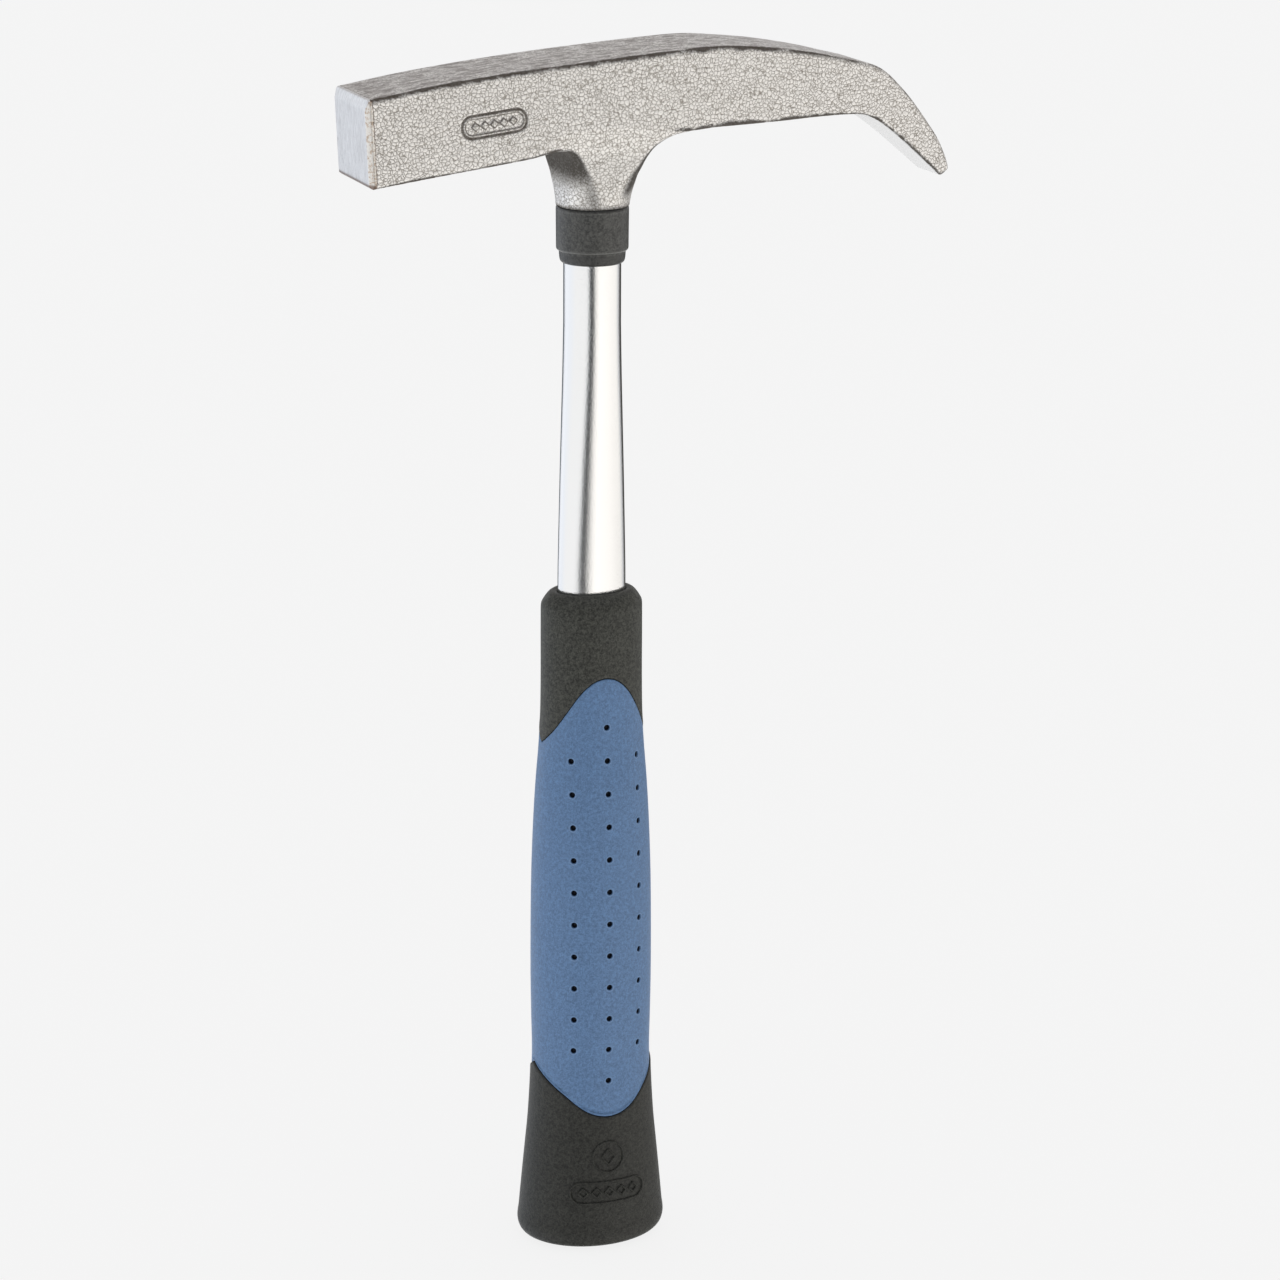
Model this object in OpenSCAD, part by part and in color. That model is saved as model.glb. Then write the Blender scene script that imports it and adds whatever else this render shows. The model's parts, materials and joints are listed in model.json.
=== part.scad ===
// Rock hammer with a forged head, a steel tube shaft and a two-part moulded grip.
// Origin: centre of the flat end of the grip. +Z runs up the handle, +X points
// along the pick, -X along the strike face. Millimetres.

/* [Head] */
// Distance from the handle axis to the strike face
face_reach = 59.5; // [54:0.5:64]
// Distance from the handle axis to the tip of the pick
pick_reach = 91; // [84:0.5:98]
// Width of the head just behind the strike face
face_w = 25.6; // [22:0.1:27]
// Greatest width of the head, across the eye
cheek_w = 27.6; // [25:0.1:30]
// Width of the pick's chisel edge
pick_w = 12.4; // [9:0.1:16]
// Bevel around the strike face
face_bevel = 1.1; // [0.5:0.1:1.6]
// Diameter of the round neck where it meets the collar
neck_d = 17.4; // [17:0.1:20]
// Depth of the blind socket in the head
socket_depth = 28.6; // [24:0.1:30]

/* [Collar] */
// Outer diameter of the collar under the head
collar_d = 17.6; // [17:0.1:19]
// Height of the collar's band
collar_h = 10.8; // [8:0.1:14]
// Height of the narrower lip below the band
lip_h = 2.9; // [2:0.1:5]
// Wall of the liner between the tube and the head
liner_wall = 0.5; // [0.4:0.05:0.8]

/* [Shaft tube] */
// Outer diameter of the tube at the head
tube_d = 13.9; // [13:0.1:14.5]
// Wall of the tube
tube_wall = 1.2; // [0.8:0.1:1.6]
// Width of the oval end of the tube, along the head
tube_oval_w = 17.3; // [15:0.1:18.5]
// Thickness of the oval end of the tube, across the head
tube_oval_t = 11.6; // [10.5:0.1:13.5]

/* [Grip] */
// Length of the grip
grip_len = 171.4; // [165:0.2:176]
// Greatest width of the grip's middle, along the head
grip_w = 30.9; // [29:0.1:33]
// Greatest width of the flared end
flare_w = 37.8; // [36:0.1:40]
// Greatest thickness of the grip's middle, across the head
grip_t = 27.2; // [25:0.1:29]
// Thickness of the soft layer
soft_t = 2.2; // [1.6:0.1:2.8]

/* [Dimples] */
// Diameter of a dimple
dimple_d = 1.3; // [0.8:0.1:2]
// Depth of a dimple
dimple_depth = 0.9; // [0.5:0.1:1.4]
// Spacing of the dimples along the grip
dimple_pitch = 8.4; // [7.8:0.1:8.8]
// Spacing of the three columns
dimple_column = 8.65; // [7:0.05:9]
// Number of dimples in the middle column
dimple_rows = 12; // [8:1:12]

/* [Hidden] */
$fn = 96;
e = 0.01;

// Heights along the handle
neck_z = 265.4;                       // underside of the head's neck
socket_top = neck_z + socket_depth;
tube_bottom = 12;
tube_top = socket_top - 1;
round_from = 238;                     // the tube is round above this height
soft_top = 150.2;                     // highest point of the soft cover
soft_bottom = 35.9;                   // lowest point of the soft cover

// Smooth curve through a list of points (Catmull-Rom)
function cr(a, b, c, d, t) =
    0.5 * (2 * b + (c - a) * t + (2 * a - 5 * b + 4 * c - d) * t * t
    + (3 * b - a - 3 * c + d) * t * t * t);
function spline(p, n) = concat(
    [for (i = [0 : len(p) - 2]) for (k = [0 : n - 1])
        cr(p[max(i - 1, 0)], p[i], p[i + 1], p[min(i + 2, len(p) - 1)], k / n)],
    [p[len(p) - 1]]);

// Side view of the head, from the neck's underside. x is along the head.
function reach(p) = [p[0] < 0 ? p[0] * face_reach / 59.5 : p[0] * pick_reach / 91, p[1]];
head_top = [[-59, 29.5], [-42, 32.2], [-22, 34.7], [0, 36.6], [18, 37.9],
    [28, 38.2], [40, 37.3], [54, 35.1], [65, 32.4], [71, 30.3], [76.5, 26.2],
    [83, 18.7], [88, 11.8], [90.5, 6.5]];
pick_end = [[91, 5], [88.6, 3.2]];
head_under = [[84, 7.1], [78, 12.3], [72, 16.8], [66.5, 19.5], [60, 19.9],
    [46, 19.5], [30, 19], [18, 18.2], [0, 16], [-16, 14.3], [-36, 11.8],
    [-57.8, 8.8]];
face_line = [[-59.28, 9.6], [-60.02, 27.1]];

// Half width of the head in the top view
head_plan = [[-57.5, 0.5 * face_w], [-40, 0.25 * (face_w + cheek_w) - 0.25],
    [-20, 0.5 * cheek_w - 0.3], [4, 0.5 * cheek_w], [24, 0.5 * cheek_w - 0.5],
    [40, 12], [55, 10.6], [70, 8.9], [82, 7.3], [90, 0.5 * pick_w]];

// Radius of the neck against height above its underside
neck_profile = [[0.5 * neck_d, 0], [0.5 * neck_d + 0.25, 1.8], [0.5 * neck_d + 0.65, 4.2],
    [10.1, 7.2], [11.4, 10.1], [12.8, 12.3], [14.6, 14.4], [17, 16.3], [20.5, 18],
    [24.5, 18.9]];

// Grip sections: height, half width along the head, half thickness across it
grip_sections = [[0, 16, 13], [0.6, 17.4, 14.4], [1.8, 18.5, 15.4], [3.6, 18.9, 15.8],
    [8, 18.65, 15.65], [18, 17.7, 14.95], [26, 16.9, 14.3], [34, 16.1, 13.6],
    [42, 15.5, 13.1], [50, 15.2, 12.9], [60, 15.35, 13.3], [72, 15.45, 13.55],
    [88, 15.35, 13.6], [100, 15.1, 13.4], [112, 14.6, 12.9], [122, 14, 12.2],
    [131, 13.3, 11.4], [140, 12.9, 10.8], [150, 12.8, 10.4], [160, 12.85, 10.1],
    [grip_len - 4.2, 12.75, 9.9], [grip_len - 3.2, 12.4, 9.6], [grip_len - 0.4, 10.8, 8.0],
    [grip_len, 10.3, 7.5]];
// Extra width of the flared end and of the middle
function flare(z) = (0.5 * flare_w - 18.9) * max(0, 1 - z / 36);
function middle(z) = max(0, 1 - pow((z - 82) / 44, 2));
function section(s, g) = [s[0], s[1] + g + flare(s[0]) + (0.5 * grip_w - 15.45) * middle(s[0]),
    s[2] + g + flare(s[0]) + (0.5 * grip_t - 13.6) * middle(s[0])];
// Outline of the soft cover seen along y: the two ends are rounded, and the
// corners at the sides are left as points
cover_top = [[-22, 112], [-16, 126.6], [-13.2, 133], [-10.4, 139.9], [-7.5, 145],
    [-4.4, 148.6], [0, soft_top], [4.4, 148.6], [7.5, 145], [10.4, 139.9],
    [13.2, 133], [16, 126.6], [22, 112]];
cover_bottom = [[22, 57], [17, 50], [14.4, 46], [11, 42], [7.4, 38.9],
    [3.8, 36.6], [0, soft_bottom], [-3.8, 36.6], [-7.4, 38.9], [-11, 42],
    [-14.4, 46], [-17, 50], [-22, 57]];

// ---- shared shapes ----

// Closed skin over a stack of ovals; p lists [height, half width, half thickness]
module oval_skin(p, sides = 56) {
    n = len(p);
    polyhedron(
        points = [for (s = p) for (k = [0 : sides - 1]) let (t = k * 360 / sides)
            [s[1] * cos(t), s[2] * sin(t), s[0]]],
        faces = concat(
            [[for (k = [0 : sides - 1]) k]],
            [[for (k = [sides - 1 : -1 : 0]) (n - 1) * sides + k]],
            [for (i = [0 : n - 2]) for (k = [0 : sides - 1])
                [i * sides + k, (i + 1) * sides + k,
                 (i + 1) * sides + (k + 1) % sides, i * sides + (k + 1) % sides]]));
}

// Outline of the tube's oval end, grown or shrunk by g all round
module oval_outline(g) {
    polygon([for (i = [0 : 63]) let (t = i * 360 / 64)
        [(0.5 * tube_oval_w + g) * cos(t), (0.5 * tube_oval_t + g) * sin(t)]]);
}

// Outside of the tube, grown or shrunk by g all round
module tube_shape(g, z0, z1) {
    translate([0, 0, z0]) linear_extrude(grip_len - z0) oval_outline(g);
    hull() {
        translate([0, 0, grip_len - e]) linear_extrude(e) oval_outline(g);
        translate([0, 0, round_from]) cylinder(r = 0.5 * tube_d + g, h = e, $fn = 64);
    }
    translate([0, 0, round_from]) cylinder(r = 0.5 * tube_d + g, h = z1 - round_from);
}

// Block that holds the soft cover, cut to its rounded ends
module cover_block() {
    rotate([90, 0, 0]) linear_extrude(60, center = true)
        polygon(concat(spline(cover_top, 3), spline(cover_bottom, 3)));
}

// Whole outside of the grip
module grip_outside() {
    oval_skin([for (s = grip_sections) section(s, 0)]);
}

// Space between the cover block's walls and the hard body under the soft cover
module cover_space() {
    difference() {
        cover_block();
        oval_skin([for (s = grip_sections) if (s[0] > 25 && s[0] < 165) section(s, -soft_t)]);
    }
}

// ---- pieces ----

module head_side() {
    rotate([90, 0, 0]) linear_extrude(40, center = true)
        polygon([for (p = concat(spline(head_top, 3), pick_end, spline(head_under, 3), face_line))
            [reach(p)[0], neck_z + p[1]]]);
}

module head_top_view() {
    s = spline(head_plan, 2);
    half = concat([[-62, 0.5 * face_w - 3.6 * face_bevel], [-58.4, 0.5 * face_w]], s,
        [[100, 0.5 * pick_w - 0.8]]);
    n = len(half);
    translate([0, 0, neck_z - 10]) linear_extrude(60)
        polygon(concat([for (p = half) reach(p)],
            [for (i = [n - 1 : -1 : 0]) let (q = reach(half[i])) [q[0], -q[1]]]));
}

module hammer_head() {
    color("silver") difference() {
        intersection() {
            union() {
                head_side();
                translate([0, 0, neck_z]) rotate_extrude()
                    polygon(concat([[0, 0]], neck_profile, [[0, 18.9]]));
            }
            head_top_view();
        }
        translate([0, 0, neck_z - 5]) cylinder(r = 0.5 * tube_d + liner_wall, h = socket_depth + 5);
    }
}

module neck_collar() {
    r = 0.5 * tube_d;
    z1 = neck_z - collar_h;
    z0 = z1 - lip_h;
    color([0.25, 0.25, 0.25]) rotate_extrude() polygon([
        [r, z0], [r + 0.3, z0], [r + 0.5, z0 + 0.5], [r + 0.8, z0 + lip_h - 0.7], [r + 1.2, z0 + lip_h - 0.4],
        [0.5 * collar_d - 0.3, z1], [0.5 * collar_d - 0.05, z1 + 0.5],
        [0.5 * collar_d, neck_z - 0.4], [0.5 * collar_d - 0.3, neck_z],
        [r + liner_wall, neck_z], [r + liner_wall, tube_top - 1], [r, tube_top - 1]]);
}

module shaft_tube() {
    color([0.85, 0.86, 0.88]) difference() {
        tube_shape(0, tube_bottom, tube_top);
        tube_shape(-tube_wall, tube_bottom - 5, tube_top + 5);
    }
}

// Steel plug that keeps the tube from collapsing inside the head's socket
module tube_core_plug() {
    r = 0.5 * tube_d - tube_wall;
    color([0.55, 0.55, 0.56]) rotate_extrude() polygon([
        [0, neck_z - 2], [r - 0.8, neck_z - 2], [r, neck_z], [r, tube_top - 1],
        [r - 0.8, tube_top], [0, tube_top]]);
}

// Plastic plug that closes the tube's lower end inside the grip
module tube_end_plug() {
    color([0.15, 0.15, 0.15]) {
        translate([0, 0, tube_bottom]) linear_extrude(14) oval_outline(-tube_wall);
        translate([0, 0, tube_bottom - 2]) linear_extrude(2) oval_outline(0);
    }
}

module grip_core() {
    color([0.2, 0.21, 0.2]) difference() {
        grip_outside();
        cover_space();
        translate([0, 0, tube_bottom - 2]) linear_extrude(grip_len) oval_outline(0);
    }
}

// Blind dimples, three columns on each broad side
module dimples() {
    for (side = [0, 1]) mirror([0, side, 0])
        for (col = [-1 : 1], row = [col == 0 ? 0 : 1 : dimple_rows - (col == 0 ? 1 : 2)]) {
            z = 137.9 - dimple_pitch * row;
            s = section([z, lookup(z, [for (s = grip_sections) [s[0], s[1]]]),
                lookup(z, [for (s = grip_sections) [s[0], s[2]]])], 0);
            x = col * dimple_column;
            translate([x, -s[2] * sqrt(1 - pow(x / s[1], 2)) - 1, z]) rotate([-90, 0, 0])
                cylinder(d = dimple_d, h = 1 + dimple_depth, $fn = 24);
        }
}

module grip_soft_cover() {
    color([0.35, 0.46, 0.63]) difference() {
        intersection() {
            grip_outside();
            cover_space();
        }
        dimples();
    }
}

hammer_head();
neck_collar();
shaft_tube();
tube_core_plug();
tube_end_plug();
grip_core();
grip_soft_cover();
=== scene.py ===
import json
import math
import bpy
import numpy as np
from mathutils import Matrix, Vector

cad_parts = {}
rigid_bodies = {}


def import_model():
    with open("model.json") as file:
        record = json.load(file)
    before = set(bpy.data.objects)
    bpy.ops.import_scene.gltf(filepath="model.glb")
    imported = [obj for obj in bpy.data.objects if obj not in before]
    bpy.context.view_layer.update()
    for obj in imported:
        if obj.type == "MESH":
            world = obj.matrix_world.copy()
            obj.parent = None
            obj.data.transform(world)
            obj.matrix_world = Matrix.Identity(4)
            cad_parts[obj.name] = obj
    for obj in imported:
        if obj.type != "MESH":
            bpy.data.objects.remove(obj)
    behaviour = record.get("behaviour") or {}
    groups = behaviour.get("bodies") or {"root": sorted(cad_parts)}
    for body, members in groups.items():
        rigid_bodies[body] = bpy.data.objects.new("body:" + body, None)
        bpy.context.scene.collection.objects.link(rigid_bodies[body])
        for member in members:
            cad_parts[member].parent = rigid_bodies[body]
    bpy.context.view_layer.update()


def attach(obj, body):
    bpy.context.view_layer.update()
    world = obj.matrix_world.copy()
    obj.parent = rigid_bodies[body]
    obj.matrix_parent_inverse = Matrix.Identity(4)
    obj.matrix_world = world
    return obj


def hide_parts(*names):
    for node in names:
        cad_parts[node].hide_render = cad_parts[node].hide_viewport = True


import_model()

MM = 0.001


scene = bpy.context.scene
scene.view_settings.view_transform = "Standard"

# ------------------------------------------------------------------ helpers


def spline(pts, n):
    """Catmull-Rom through points, n steps a span."""
    p = np.asarray(pts, float)
    out = []
    for i in range(len(p) - 1):
        a, b, c, d = p[max(i - 1, 0)], p[i], p[i + 1], p[min(i + 2, len(p) - 1)]
        for t in np.arange(n) / n:
            out.append(0.5 * (2 * b + (c - a) * t + (2 * a - 5 * b + 4 * c - d) * t * t
                              + (3 * b - a - 3 * c + d) * t ** 3))
    out.append(p[-1])
    return np.array(out)


def table(pts, n=12):
    """A smooth function of the first column; the rest are its values."""
    s = spline(pts, n)
    return lambda v: [np.interp(v, s[:, 0], s[:, k]) for k in range(1, s.shape[1])]


def smooth(t):
    t = np.clip(t, 0.0, 1.0)
    return t * t * (3 - 2 * t)


def make_object(name, verts_mm, faces, material, flat=False):
    me = bpy.data.meshes.new(name)
    v = np.asarray(verts_mm, float) * MM
    me.from_pydata([tuple(p) for p in v], [], [tuple(int(i) for i in f) for f in faces])
    me.update()
    me.polygons.foreach_set("use_smooth", [not flat] * len(me.polygons))
    ob = bpy.data.objects.new(name, me)
    scene.collection.objects.link(ob)
    me.materials.append(material)
    return ob


def prune(verts, faces):
    used = sorted({i for f in faces for i in f})
    remap = {o: n for n, o in enumerate(used)}
    return [verts[i] for i in used], [[remap[i] for i in f] for f in faces]


def ring_skin(rows, cap_first=None, cap_last=None, loop=False, skip=()):
    """Quads between rows of equal length, each row a closed ring."""
    n = len(rows[0])
    verts = [p for r in rows for p in r]
    faces = []
    m = len(rows)
    for i in range(m if loop else m - 1):
        a, b = i * n, ((i + 1) % m) * n
        for j in range(n):
            if (i, j) in skip:
                continue
            k = (j + 1) % n
            faces.append([a + j, a + k, b + k, b + j])
    if cap_first is not None:
        verts.append(cap_first)
        c = len(verts) - 1
        faces += [[c, (j + 1) % n, j] for j in range(n)]
    if cap_last is not None:
        verts.append(cap_last)
        c = len(verts) - 1
        base = (m - 1) * n
        faces += [[c, base + j, base + (j + 1) % n] for j in range(n)]
    return verts, faces


# ---------------------------------------------------------------- materials


class Nodes:
    def __init__(self, name):
        self.mat = bpy.data.materials.new(name)
        self.mat.use_nodes = True
        self.nt = self.mat.node_tree
        self.bsdf = next(n for n in self.nt.nodes if n.type == "BSDF_PRINCIPLED")
        self.tc = self.nt.nodes.new("ShaderNodeTexCoord")

    def add(self, kind, **props):
        n = self.nt.nodes.new(kind)
        for k, v in props.items():
            setattr(n, k, v)
        return n

    def link(self, a, b):
        self.nt.links.new(a, b)
        return b.node

    def coords(self, scale=(1, 1, 1)):
        m = self.add("ShaderNodeMapping")
        m.inputs["Scale"].default_value = scale
        self.link(self.tc.outputs["Object"], m.inputs["Vector"])
        return m.outputs["Vector"]

    def noise(self, scale, detail=2.0, rough=0.5, stretch=(1, 1, 1)):
        n = self.add("ShaderNodeTexNoise")
        n.inputs["Scale"].default_value = scale
        n.inputs["Detail"].default_value = detail
        n.inputs["Roughness"].default_value = rough
        self.link(self.coords(stretch), n.inputs["Vector"])
        return n.outputs["Fac"]

    def ramp(self, fac, stops, mode="LINEAR"):
        r = self.add("ShaderNodeValToRGB")
        r.color_ramp.interpolation = mode
        els = r.color_ramp.elements
        while len(els) < len(stops):
            els.new(0.5)
        for e, (pos, col) in zip(els, stops):
            e.position = pos
            e.color = (*col, 1) if len(col) == 3 else col
        self.link(fac, r.inputs["Fac"])
        return r.outputs["Color"]

    def math(self, op, a, b=None, clamp=False):
        n = self.add("ShaderNodeMath", operation=op, use_clamp=clamp)
        for k, v in enumerate((a, b)):
            if v is None:
                continue
            if isinstance(v, (int, float)):
                n.inputs[k].default_value = v
            else:
                self.link(v, n.inputs[k])
        return n.outputs[0]

    def mix(self, fac, a, b, blend="MIX"):
        n = self.add("ShaderNodeMix", data_type="RGBA", blend_type=blend)
        for sock, v in ((n.inputs[0], fac), (n.inputs[6], a), (n.inputs[7], b)):
            if isinstance(v, (int, float)):
                sock.default_value = v
            elif isinstance(v, tuple):
                sock.default_value = (*v, 1)
            else:
                self.link(v, sock)
        return n.outputs[2]

    def lerp(self, fac, a, b):
        n = self.add("ShaderNodeMix", data_type="FLOAT")
        for sock, v in ((n.inputs[0], fac), (n.inputs[2], a), (n.inputs[3], b)):
            if isinstance(v, (int, float)):
                sock.default_value = v
            else:
                self.link(v, sock)
        return n.outputs[0]

    def bump(self, height, strength, distance_mm, below=None):
        b = self.add("ShaderNodeBump")
        b.inputs["Strength"].default_value = strength
        b.inputs["Distance"].default_value = distance_mm * MM
        self.link(height, b.inputs["Height"])
        if below is not None:
            self.link(below, b.inputs["Normal"])
        return b.outputs["Normal"]

    def out(self, **kw):
        for k, v in kw.items():
            s = self.bsdf.inputs[k.replace("_", " ")]
            if isinstance(v, (int, float)):
                s.default_value = v
            elif isinstance(v, tuple):
                s.default_value = (*v, 1)
            else:
                self.link(v, s)
        return self.mat


def head_paint():
    """Grey hammered paint; the strike face and its bevels are ground bare."""
    m = Nodes("hammered_paint_and_ground_steel")
    ground = m.add("ShaderNodeAttribute", attribute_name="ground").outputs["Fac"]
    bevel = m.add("ShaderNodeAttribute", attribute_name="bevel").outputs["Fac"]
    painted_edge_reflection = m.add("ShaderNodeAttribute", attribute_name="painted_edge_reflection").outputs["Fac"]
    dent = m.add("ShaderNodeAttribute", attribute_name="dent").outputs["Fac"]
    shade = m.add("ShaderNodeAttribute", attribute_name="shade").outputs["Fac"]
    top = m.add("ShaderNodeAttribute", attribute_name="top").outputs["Fac"]
    foot = m.add("ShaderNodeAttribute", attribute_name="foot").outputs["Fac"]
    belly = m.add("ShaderNodeAttribute", attribute_name="belly").outputs["Fac"]
    # hammered cells: light islands with thin darker lines between them
    warp = m.add("ShaderNodeTexNoise")
    warp.inputs["Scale"].default_value = 700
    m.link(m.coords(), warp.inputs["Vector"])
    v1 = m.add("ShaderNodeVectorMath", operation="SCALE")
    v1.inputs["Scale"].default_value = 0.0010
    m.link(warp.outputs["Color"], v1.inputs[0])
    v2 = m.add("ShaderNodeVectorMath", operation="ADD")
    m.link(m.coords(), v2.inputs[0])
    m.link(v1.outputs[0], v2.inputs[1])
    vor = m.add("ShaderNodeTexVoronoi", feature="DISTANCE_TO_EDGE")
    vor.inputs["Scale"].default_value = 1150
    m.link(v2.outputs[0], vor.inputs["Vector"])
    cells = m.ramp(vor.outputs["Distance"], [(0.0, (0.12, 0.12, 0.12)), (0.09, (0.6, 0.6, 0.6)), (0.26, (1, 1, 1))])
    fine = m.noise(2100, 3, 0.7)
    patch = m.noise(260, 3, 0.6)
    broad = m.noise(55, 2, 0.5)
    height = m.math("ADD", m.math("MULTIPLY", cells, 0.62), m.math("MULTIPLY", fine, 0.50))
    light = m.mix(broad, (0.94, 0.918, 0.890), (0.99, 0.975, 0.952))
    dark = m.mix(patch, (0.24, 0.215, 0.185), (0.50, 0.475, 0.44))
    paint = m.mix(m.ramp(height, [(0.36, (0, 0, 0)), (0.68, (1, 1, 1))]), dark, light)
    # small dark flecks drawn out along the head
    fleck = m.ramp(m.noise(900, 4, 0.7, (0.45, 1.3, 1.3)), [(0.55, (0, 0, 0)), (0.70, (1, 1, 1))])
    paint = m.mix(m.math("MULTIPLY", fleck, 0.50), paint, (0.22, 0.19, 0.155))
    # painted dark reflection on the top, drawn out into streaks
    painted_top_streak = m.ramp(m.noise(620, 4, 0.75, (0.42, 1, 1)), [(0.40, (1, 1, 1)), (0.56, (0, 0, 0))])
    paint = m.mix(m.math("MULTIPLY", m.math("MULTIPLY", painted_top_streak, top), 0.85), paint, (0.24, 0.205, 0.19))
    # painted light reflection under the pick, where the paint is also smoother
    paint = m.mix(m.math("MULTIPLY", belly, 0.92), paint, (0.77, 0.767, 0.76))
    # painted shade and painted dark reflections, thinner where the paint stands proud
    painted_shade = m.math("MULTIPLY", shade, m.math("ADD", m.math("MULTIPLY", m.math("SUBTRACT", 1.0, fine), 1.1), 0.48), True)
    paint = m.mix(m.math("MULTIPLY", painted_shade, 0.96), paint, (0.050, 0.043, 0.034))
    # painted dark reflection along the edges, with a ragged boundary
    ragged = m.math("ADD", m.noise(380, 4, 0.7), m.math("MULTIPLY", fine, 0.45))
    blot = m.math("MULTIPLY", m.math("SUBTRACT", m.noise(170, 3, 0.6), 0.5), 1.7)
    edge = m.math("ADD", painted_edge_reflection, m.math("ADD", blot, m.math("MULTIPLY", m.math("SUBTRACT", ragged, 0.72), 1.5)))
    line = m.ramp(edge, [(0.45, (1, 1, 1)), (1.0, (0, 0, 0))])
    paint = m.mix(m.math("MULTIPLY", line, 0.93), paint, m.mix(fine, (0.030, 0.022, 0.016), (0.11, 0.09, 0.07)))
    # painted shade in the grooves and round the lozenges of the sunk plate
    paint = m.mix(m.ramp(dent, [(0.15, (0, 0, 0)), (0.85, (0.8, 0.8, 0.8))]), paint, (0.11, 0.09, 0.07))
    # ground steel with fine upright marks
    marks = m.noise(1100, 4, 0.75, (1, 2.0, 0.22))
    tone = m.noise(95, 2, 0.5, (1, 1, 0.6))
    steel = m.mix(m.ramp(marks, [(0.42, (0, 0, 0)), (0.58, (1, 1, 1))]), (0.79, 0.785, 0.78), (1.0, 1.0, 1.0))
    speck = m.ramp(m.noise(2600, 3, 0.7, (1, 1, 0.5)), [(0.56, (0, 0, 0)), (0.70, (1, 1, 1))])
    steel = m.mix(m.math("MULTIPLY", speck, 0.6), steel, (0.60, 0.60, 0.63))
    steel = m.mix(m.math("MULTIPLY", tone, 0.2), steel, (0.92, 0.92, 0.94))
    rust = m.ramp(m.noise(1300, 3, 0.7), [(0.50, (0, 0, 0)), (0.62, (1, 1, 1))])
    rough_steel = m.mix(m.math("MULTIPLY", rust, 0.75), (0.93, 0.90, 0.85), (0.52, 0.37, 0.25))
    bare = m.mix(m.math("GREATER_THAN", m.math("ADD", bevel, m.math("MULTIPLY", m.math("SUBTRACT", fine, 0.5), 0.7)), 0.5),
                 steel, rough_steel)
    ed = m.math("ADD", ground, m.math("MULTIPLY", m.math("SUBTRACT", m.noise(1500, 3, 0.6), 0.5), 0.75))
    mask = m.math("GREATER_THAN", ed, 0.5)
    lip = m.ramp(ed, [(0.24, (0, 0, 0)), (0.34, (1, 1, 1)), (0.48, (1, 1, 1)), (0.52, (0, 0, 0))])
    bare = m.mix(m.math("MULTIPLY", foot, 0.85), bare, (0.20, 0.13, 0.10))
    color = m.mix(mask, m.mix(m.math("MULTIPLY", lip, 0.65), paint, (0.15, 0.09, 0.06)), bare)
    # the painted dark edge reflection and the painted shade, which are also made rougher and less metallic
    painted_dark_areas = m.math("MAXIMUM", line, painted_shade)
    rough = m.lerp(mask, m.lerp(painted_dark_areas, m.lerp(fine, 0.34, 0.46), 0.85), m.lerp(marks, 0.34, 0.50))
    hp = m.lerp(mask, m.lerp(belly, height, 0.5), m.math("ADD", m.math("MULTIPLY", marks, 0.18), m.math("MULTIPLY", m.math("MULTIPLY", fine, bevel), 0.8)))
    return m.out(Base_Color=color, Roughness=rough, Metallic=m.lerp(mask, m.math("MULTIPLY", m.math("SUBTRACT", 1.0, painted_dark_areas), 0.82), 0.95),
                 Normal=m.bump(hp, 0.60, 0.17))


def chrome():
    m = Nodes("satin_chrome")
    grain = m.noise(2600, 2, 0.6)
    drift = m.noise(90, 2, 0.5, (1, 1, 0.25))
    rough = m.lerp(drift, 0.10, 0.15)
    col = m.mix(drift, (0.87, 0.875, 0.88), (0.91, 0.91, 0.905))
    return m.out(Base_Color=col, Metallic=1.0, Roughness=rough, Normal=m.bump(grain, 1.0, 0.036))


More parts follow.
